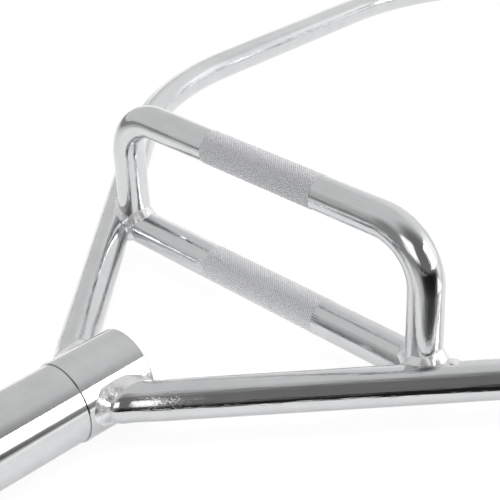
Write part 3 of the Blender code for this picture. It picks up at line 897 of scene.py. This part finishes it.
def weldGrid(line, normalsA, normalsB, awayA, widthA, widthB, settleA, settleB, lumpShare, seed):
    # Each row crosses the bead. It starts at a toe on surface A, follows a parabola whose middle
    # control point lies between the joint line and the toes' midpoint, bulges by the crown, the
    # ripples and the lumps, ends at a toe on surface B, and returns below both surfaces.
    angles = ringAngles(len(line))
    forward = unit(np.roll(line, -1, axis=0) - np.roll(line, 1, axis=0))
    awayOnA = np.cross(forward, normalsA)
    sign = np.sign(np.sum(awayOnA * awayA, axis=-1, keepdims=True).mean())
    awayOnA = unit(awayOnA) * sign
    awayOnB = -unit(np.cross(forward, normalsB)) * sign
    outward = unit(normalsA + normalsB)
    spreadA = widthA * (1 + weld["toeWander"] * wander(angles, seed, *weld["toeWaves"]))
    spreadB = widthB * (1 + weld["toeWander"] * wander(angles, seed + 1, *weld["toeWaves"]))
    toeA = settleA(line + awayOnA * spreadA[:, None], weld["embed"])
    toeB = settleB(line + awayOnB * spreadB[:, None], weld["embed"])
    control = line + ((toeA + toeB) / 2 - line) * weld["fullness"]
    share = np.linspace(0.0, 1.0, weld["across"])[None, :, None]
    rest = 1 - share
    rows = toeA[:, None] * rest**2 + 2 * control[:, None] * share * rest + toeB[:, None] * share**2
    girth = np.sum(np.linalg.norm(np.roll(line, -1, axis=0) - line, axis=1))
    ripples = round(girth * 1000 / weld["rippleMm"])
    # across the bead the ripples lag towards both toes, and one set of lumps tilts from side to side
    fromMiddle = 2 * share[..., 0] - 1
    phase = angles[:, None] * ripples + weld["rippleLag"] * fromMiddle**2
    lumps = wander(angles, seed + 2, *weld["lumpWaves"])[:, None]
    tilt = wander(angles, seed + 3, *weld["tiltWaves"])[:, None] * fromMiddle
    height = weld["crown"] + weld["rippleHeight"] * np.cos(phase)
    height = height + lumpShare * weld["lumpHeight"] * (lumps + weld["tiltShare"] * tilt)
    rows = rows + outward[:, None] * (height * (1 - fromMiddle**2))[..., None]
    buried = np.stack([
        toeB - normalsB * weld["buriedToe"], line - outward * weld["buriedMiddle"],
        toeA - normalsA * weld["buriedToe"],
    ], axis=1)
    return np.concatenate([rows, buried], axis=1)


def hubWeldGrid(side, lean, seed):
    # the joint line is where lines along the rail's surface meet the hub's cylinder
    angles = ringAngles(weld["steps"])
    direction = railDirection(side, lean)
    across = np.array([direction[1], -direction[0], 0.0])
    normalsRail = across * np.cos(angles)[:, None] + zAxis * np.sin(angles)[:, None]
    offsets = normalsRail * bar["railRadius"]
    travel = hubTravel(side, lean, offsets, bar["hubRadius"])
    line = crossingPoint(side) + offsets + direction * travel[:, None]
    normalsHub = unit((line - crossingPoint(side)) * (yAxis + zAxis))
    upper = (np.sin(angles) - hubWeld["lowSine"]) / (hubWeld["fullSine"] - hubWeld["lowSine"])
    upper = np.clip(upper, 0.0, 1.0)
    width = hubWeld["lowShare"] + (1 - hubWeld["lowShare"]) * upper**2 * (3 - 2 * upper)
    reach = width * (1 + hubWeld["rearExtra"] * max(lean, 0) * np.clip(np.sin(angles), 0.0, 1.0))

    def onRail(points, sink):
        # the bar is thinner near the hub, where its end was ground round
        fromCrossing = points - crossingPoint(side)
        along = fromCrossing @ direction
        gap = along - hubTravel(side, lean, fromCrossing - along[:, None] * direction, bar["hubRadius"])
        radius = bar["railRadius"] - noseDrop(gap) - sink
        return ontoCylinder(points, crossingPoint(side), direction, radius[:, None])

    def onHub(points, sink):
        # kept clear of the hub's inner end and of the seam
        placed = ontoCylinder(points, crossingPoint(side), xAxis, bar["hubRadius"] - sink)
        lowest, highest = bar["hubInnerX"] + hubWeld["endMargin"], bar["seamX"] - hubWeld["seamMargin"]
        placed[:, 0] = side * np.clip(side * placed[:, 0], lowest, highest)
        return placed

    return weldGrid(
        line, normalsRail, normalsHub, direction, hubWeld["onRail"] * reach, hubWeld["onHub"] * width,
        onRail, onHub, hubWeld["lumpShare"], seed,
    )


def buttWeldGrid(side, lean, seed):
    # the joint line is where lines along the low handle's surface meet the rail's cylinder
    angles = ringAngles(weld["steps"])
    x, z = np.cos(angles) * bar["lowRadius"], np.sin(angles) * bar["lowRadius"]
    depth = np.sqrt(np.clip(bar["railRadius"] ** 2 - z**2, 0.0, None)) / math.cos(bar["railAngle"])
    y = railAxisY(bar["handleX"] + x) - depth
    line = np.stack([side * (bar["handleX"] + x), lean * y, bar["axisZ"] + z], axis=-1)
    normalsHandle = np.stack([side * np.cos(angles), np.zeros_like(angles), np.sin(angles)], axis=-1)
    handleAxis = np.array([side * bar["handleX"], 0.0, bar["axisZ"]])

    def onHandle(points, sink):
        return ontoCylinder(points, handleAxis, yAxis, bar["lowRadius"] - sink)

    def onRail(points, sink):
        return ontoCylinder(points, crossingPoint(side), railDirection(side, lean), bar["railRadius"] - sink)

    return weldGrid(
        line, normalsHandle, railNormals(side, lean, line), -lean * yAxis, buttWeld["onHandle"],
        buttWeld["onRail"], onHandle, onRail, buttWeld["lumpShare"], seed,
    )


def footWeldGrid(side, lean, seed):
    # the joint line is where upright lines on the leg's surface meet the low handle and the rail
    angles = ringAngles(weld["steps"])
    radius = bar["raisedRadius"] - knurl["rise"]
    x, y = np.cos(angles) * radius, bar["legY"] + np.sin(angles) * radius
    line = np.stack([side * (bar["handleX"] + x), lean * y, bar["axisZ"] + footHeight(x, y)], axis=-1)
    normalsLeg = np.stack([side * np.cos(angles), lean * np.sin(angles), np.zeros_like(angles)], axis=-1)
    handleAxis = np.array([side * bar["handleX"], 0.0, bar["axisZ"]])
    legAxis = np.array([side * bar["handleX"], lean * bar["legY"], 0.0])
    # the surface that stands higher at a point is the one that the bead lies on
    onHandleShare = footShare(x, y)[:, None]
    normalsHandle = unit((line - handleAxis) * (xAxis + zAxis))
    normalsRail = railNormals(side, lean, line)
    normalsFoot = unit(normalsHandle * onHandleShare + normalsRail * (1 - onHandleShare))

    def onLeg(points, sink):
        return ontoCylinder(points, legAxis, zAxis, radius - sink)

    def onFoot(points, sink):
        onHandle = ontoCylinder(points, handleAxis, yAxis, bar["lowRadius"] - sink)
        direction = railDirection(side, lean)
        onRail = ontoCylinder(points, crossingPoint(side), direction, bar["railRadius"] - sink)
        return onHandle * onHandleShare + onRail * (1 - onHandleShare)

    return weldGrid(
        line, normalsLeg, normalsFoot, zAxis, footWeld["onLeg"], footWeld["onFoot"],
        onLeg, onFoot, footWeld["lumpShare"], seed,
    )


def joinMeshes(name, meshes):
    # several closed shells in one mesh
    parts = [linkedObject(name, mesh) for mesh in meshes]
    first = parts[0]
    with bpy.context.temp_override(active_object=first, selected_editable_objects=parts, object=first):
        bpy.ops.object.join()
    joined = first.data
    bpy.data.objects.remove(first, do_unlink=True)
    return joined


def weldMesh(name, grid):
    # the bead's rows follow the joint line once round
    girth = np.sum(np.linalg.norm(np.roll(grid[:, 0], -1, axis=0) - grid[:, 0], axis=1))
    return gridPiece(name, grid, girth, "weld", rowLoop=True)


def addWelds(sideName, side):
    # at either end of a side: the rail's bead on the hub, and the junction's two beads as one piece
    seed = weld["seeds"][sideName]
    for end, lean in ends:
        name = f"{sideName}_{end}_hub_weld"
        mesh = weldMesh(name, hubWeldGrid(side, lean, seed))
        addPiece(f"{name}_bead", mesh, "weldment", "chrome", name, ["weld"])
        name = f"{sideName}_{end}_handle_weld"
        shells = [
            weldMesh(f"{name}_butt", buttWeldGrid(side, lean, seed + weld["buttSeed"])),
            weldMesh(f"{name}_foot", footWeldGrid(side, lean, seed + weld["footSeed"])),
        ]
        addPiece(f"{name}_bead", joinMeshes(name, shells), "weldment", "chrome", name, ["weld"])
        seed += weld["seedStep"]


for sideName, side in sides:
    addWelds(sideName, side)
print("welds laid")


# Bearing pieces keep their CAD solids and get their own finish
bearingKinds = {
    "ground_steel": ("spindle", "retaining_washer"),
    "bronze": ("thrust_washer", "inner_bush", "outer_bush"),
    "spring_steel": ("circlip",),
}
for finishName, kinds in bearingKinds.items():
    for node in [f"{sideName}_{kind}" for kind in kinds for sideName in ("left", "right")]:
        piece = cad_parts[node]
        piece.data.materials.clear()
        piece.data.materials.append(finishes[finishName])
print("bearing pieces finished")


# Stage: a white floor and room, cards that only the chrome mirrors, one soft lamp, and the camera.
# Azimuth 0 looks along +Y and 90 along +X. Lengths are in metres and angles in degrees.
studio = {
    "floorReach": 6.0, "floorMatt": 0.2, "floorGlow": 0.89, "mirroredMatt": 0.9, "mirroredGlow": 0.38,
    # the mirrored table's edge crosses this point, square to the azimuth
    "tableAzimuth": 31, "tablePoint": (-0.3982, -0.1933), "tableHeight": 0.0002,
    "cardCentre": (-0.4, 0.0, 0.03), "worldDiffuse": 0.496, "roomWhite": 0.776,
    # each is a direction's azimuth and elevation, how far from it the shade ends and is full, and
    # by what share the room grows lighter there: dark behind the camera, darker on the left,
    # lighter on the right, and a bright patch low on the right, past the table's edge
    "roomShades": (
        (-158, 25, 66, 30, -0.74), (-80, 12, 36, 10, -0.62), (85, 20, 48, 18, 0.30), (130, 10, 34, 12, 0.60),
        (156, -17, 13, 5, 3.6),
    ),
    # behind the camera the room darkens once more below this height of a direction of length 1
    "skirting": {"azimuth": -158, "far": 66, "near": 30, "height": 0.14, "change": -0.93},
}
overheadLamp = {"place": (-0.3, 0.1, 1.6), "size": 1.4, "watts": 9.5}
standingCards = {
    "right_softbox": {
        "azimuths": (134, 173), "elevations": (7.3, 37), "distance": 3.5, "radiance": 5.4, "fade": 0.04,
    },
    "left_softbox": {
        "azimuths": (-135, -98), "elevations": (8, 40), "distance": 1.5, "radiance": 1.8, "fade": 0.14,
    },
    "back_sweep": {
        "azimuths": (28, 64), "elevations": (-4, 13), "distance": 0.9, "radiance": 1.25, "fade": 0.2,
    },
}
# bright_table glows above the floor's white as a painted pool of light on the far table;
# table_side_painted_shade glows dimmer than the floor, as painted shade on the table to the left
lyingCards = {
    "bright_table": {
        "azimuth": 20, "nearPoint": (-0.35, 0.14), "reaches": (0.0, 3.0), "depth": 3.0, "height": 0.0008,
        "radiance": 1.08, "fade": 0.06,
    },
    "table_side_painted_shade": {
        "azimuth": -60, "nearPoint": (-0.46, 0.17), "reaches": (30.0, 30.0), "depth": 30.0, "height": 0.0006,
        "radiance": 0.32, "fade": 0.4,
    },
}
view = {
    "place": (-0.8319, -0.5170, 0.4797), "azimuth": 42.98, "elevation": -30.64, "roll": -2.92,
    "lensMm": 92.27, "sensorMm": 36.0, "clipStart": 0.01,
}


def heading(azimuth, elevation=0.0):
    # unit vector: the sine and cosine of the azimuth, both times the elevation's cosine, and its sine
    across = math.cos(math.radians(elevation))
    return np.array([
        math.sin(math.radians(azimuth)) * across, math.cos(math.radians(azimuth)) * across,
        math.sin(math.radians(elevation)),
    ])


def stageObject(name, corners, material):
    # one four-cornered face, with a map from 0 to 1 along two of its sides
    mesh = bpy.data.meshes.new(name)
    mesh.from_pydata([tuple(map(float, corner)) for corner in corners], [], [(0, 1, 2, 3)])
    mesh.uv_layers.new(name="card").data.foreach_set("uv", [0.0, 0.0, 1.0, 0.0, 1.0, 1.0, 0.0, 1.0])
    mesh.materials.append(material)
    staged = linkedObject(name, mesh)
    return staged


def emptyTree(owner):
    # of a new material or world
    owner.use_nodes = True
    owner.node_tree.nodes.clear()
    return owner.node_tree


def seenRays(tree):
    # 1 for camera, glossy and transmission rays, 0 for the rest
    seen = 0.0
    for ray in ("Is Camera Ray", "Is Glossy Ray", "Is Transmission Ray"):
        seenBy = addNode(tree, "ShaderNodeLightPath", output=ray)
        seen = addNode(tree, "ShaderNodeMath", {0: seen, 1: seenBy}, operation="MAXIMUM")
    return seen


def lyingCorners(azimuth, nearPoint, reaches, depth, height):
    # of a level rectangle that starts at the line through nearPoint square to the azimuth, reaches
    # this far to its left and right, and runs on along the azimuth for its depth
    onwards = heading(azimuth)
    across = heading(azimuth + 90)
    near = np.array([*nearPoint, height])
    left, right = near - across * reaches[0], near + across * reaches[1]
    return [left, right, right + onwards * depth, left + onwards * depth]


def hideCard(card):
    # a card is there for the mirror finish alone
    card.visible_camera = False
    card.visible_diffuse = False
    card.visible_transmission = False
    card.visible_shadow = False


def addFloor():
    # The camera sees a white that mostly glows, with faint shadows. The chrome mirrors a white that
    # is mostly matt, with plainer shadows, on a table that ends in front of the bar. Past its edge
    # the chrome mirrors the room, which goes on below the floor.
    material = bpy.data.materials.new("white_floor")
    tree = emptyTree(material)
    glossyRay = addNode(tree, "ShaderNodeLightPath", output="Is Glossy Ray")
    greys = [(studio[key],) * 3 + (1.0,) for key in ("floorMatt", "mirroredMatt")]
    grey = addNode(tree, "ShaderNodeMix", {0: glossyRay, 6: greys[0], 7: greys[1]}, 2, data_type="RGBA")
    levels = {2: studio["floorGlow"], 3: studio["mirroredGlow"]}
    level = addNode(tree, "ShaderNodeMix", {0: glossyRay, **levels}, data_type="FLOAT")
    strength = addNode(tree, "ShaderNodeMath", {0: seenRays(tree), 1: level}, operation="MULTIPLY")
    matt = addNode(tree, "ShaderNodeBsdfDiffuse", {"Color": grey})
    glow = addNode(tree, "ShaderNodeEmission", {"Strength": strength})
    both = addNode(tree, "ShaderNodeAddShader", {0: matt, 1: glow})
    addNode(tree, "ShaderNodeOutputMaterial", {"Surface": both})
    reach = studio["floorReach"]
    floor = stageObject("floor", lyingCorners(0, (0.0, -reach), (reach, reach), reach * 2, 0.0), material)
    floor.visible_glossy = False
    corners = lyingCorners(
        studio["tableAzimuth"], studio["tablePoint"], (reach, reach), reach, studio["tableHeight"],
    )
    hideCard(stageObject("mirrored_table", corners, material))


def cardMaterial(name, radiance, edges):
    # Glows evenly. At each edge, an axis of the card's map and where on it the card starts, it
    # comes in over the given share of the card.
    material = bpy.data.materials.new(name)
    tree = emptyTree(material)
    surface = addNode(tree, "ShaderNodeEmission", {"Strength": radiance})
    clear = addNode(tree, "ShaderNodeBsdfTransparent")
    place = addNode(tree, "ShaderNodeUVMap", uv_map="card")
    for axis, edge, fade in edges:
        along = addNode(tree, "ShaderNodeSeparateXYZ", {0: place}, axis)
        span = {"Value": along, "From Min": edge, "From Max": edge + fade}
        share = addNode(tree, "ShaderNodeMapRange", span, interpolation_type="SMOOTHSTEP")
        surface = addNode(tree, "ShaderNodeMixShader", {0: share, 1: clear, 2: surface})
    addNode(tree, "ShaderNodeOutputMaterial", {"Surface": surface})
    return material


def addStandingCard(name, azimuths, elevations, distance, radiance, fade):
    # stands at this distance from the middle of what the camera sees, between these directions
    corners = []
    for across, up in ((0, 0), (1, 0), (1, 1), (0, 1)):
        height = math.tan(math.radians(elevations[up])) * distance
        onwards = heading(azimuths[across]) * distance
        corners.append(np.array(studio["cardCentre"]) + onwards + np.array([0.0, 0.0, height]))
    edges = [(0, 0.0, fade), (0, 1.0, -fade), (1, 0.0, fade), (1, 1.0, -fade)]
    hideCard(stageObject(name, corners, cardMaterial(name, radiance, edges)))


def addLyingCard(name, azimuth, nearPoint, reaches, depth, height, radiance, fade):
    # lies just above the floor and comes in over the fade, in metres
    corners = lyingCorners(azimuth, nearPoint, reaches, depth, height)
    hideCard(stageObject(name, corners, cardMaterial(name, radiance, [(1, 0.0, fade / depth)])))


def directionShare(tree, direction, azimuth, elevation, farDegrees, nearDegrees):
    # 1 within nearDegrees of a direction, fading smoothly to 0 at farDegrees, by the angle's cosine
    aim = tuple(heading(azimuth, elevation))
    cosine = addNode(tree, "ShaderNodeVectorMath", {0: direction, 1: aim}, "Value", operation="DOT_PRODUCT")
    span = {"From Min": math.cos(math.radians(farDegrees)), "From Max": math.cos(math.radians(nearDegrees))}
    return addNode(tree, "ShaderNodeMapRange", {"Value": cosine, **span}, interpolation_type="SMOOTHSTEP")


def addWorld():
    # plain white to the camera, weaker light on matt surfaces, and to the chrome a room whose
    # white is scaled by 1 plus its change wherever a shade lies
    world = bpy.data.worlds.new("white_studio")
    bpy.context.scene.world = world
    tree = emptyTree(world)
    direction = addNode(tree, "ShaderNodeTexCoord", output="Generated")
    shades = [(directionShare(tree, direction, *shade[:4]), shade[4]) for shade in studio["roomShades"]]
    skirting = studio["skirting"]
    behind = directionShare(tree, direction, skirting["azimuth"], 0, skirting["far"], skirting["near"])
    height = addNode(tree, "ShaderNodeSeparateXYZ", {0: direction}, "Z")
    span = {"Value": height, "From Min": skirting["height"], "From Max": 0.0}
    low = addNode(tree, "ShaderNodeMapRange", span, interpolation_type="SMOOTHSTEP")
    lowBehind = addNode(tree, "ShaderNodeMath", {0: behind, 1: low}, operation="MULTIPLY")
    room = studio["roomWhite"]
    for share, change in (*shades, (lowBehind, skirting["change"])):
        factor = addNode(tree, "ShaderNodeMapRange", {"Value": share, "To Min": 1.0, "To Max": 1.0 + change})
        room = addNode(tree, "ShaderNodeMath", {0: room, 1: factor}, operation="MULTIPLY")
    levels = {"To Min": studio["worldDiffuse"], "To Max": 1.0}
    plain = addNode(tree, "ShaderNodeMapRange", {"Value": seenRays(tree), **levels})
    glossyRay = addNode(tree, "ShaderNodeLightPath", output="Is Glossy Ray")
    strength = addNode(tree, "ShaderNodeMix", {0: glossyRay, 2: plain, 3: room}, data_type="FLOAT")
    background = addNode(tree, "ShaderNodeBackground", {"Color": (1.0, 1.0, 1.0, 1.0), "Strength": strength})
    addNode(tree, "ShaderNodeOutputWorld", {"Surface": background})


def addLamp():
    # a round soft lamp above the bar, which the chrome and the camera don't see
    light = bpy.data.lights.new("overhead_softbox", "AREA")
    light.shape = "DISK"
    light.size = overheadLamp["size"]
    light.energy = overheadLamp["watts"]
    lamp = linkedObject("overhead_softbox", light)
    lamp.location = overheadLamp["place"]
    lamp.visible_glossy = False
    lamp.visible_camera = False


def addCamera():
    # looks along its heading, then turns by its roll about that
    camera = bpy.data.cameras.new("camera")
    camera.lens = view["lensMm"]
    camera.sensor_width = view["sensorMm"]
    camera.clip_start = view["clipStart"]
    looker = linkedObject("camera", camera)
    forward = heading(view["azimuth"], view["elevation"])
    level = unit(np.cross(forward, (0.0, 0.0, 1.0)))
    upwards = np.cross(level, forward)
    roll = math.radians(view["roll"])
    right = level * math.cos(roll) + upwards * math.sin(roll)
    top = upwards * math.cos(roll) - level * math.sin(roll)
    turn = Matrix((right, top, -forward)).transposed().to_4x4()
    looker.matrix_world = Matrix.Translation(Vector(view["place"])) @ turn
    bpy.context.scene.camera = looker


addFloor()
addWorld()
addLamp()
for name, card in standingCards.items():
    addStandingCard(name, **card)
for name, card in lyingCards.items():
    addLyingCard(name, **card)
addCamera()
bpy.context.scene.view_settings.view_transform = "Standard"
print("stage set")
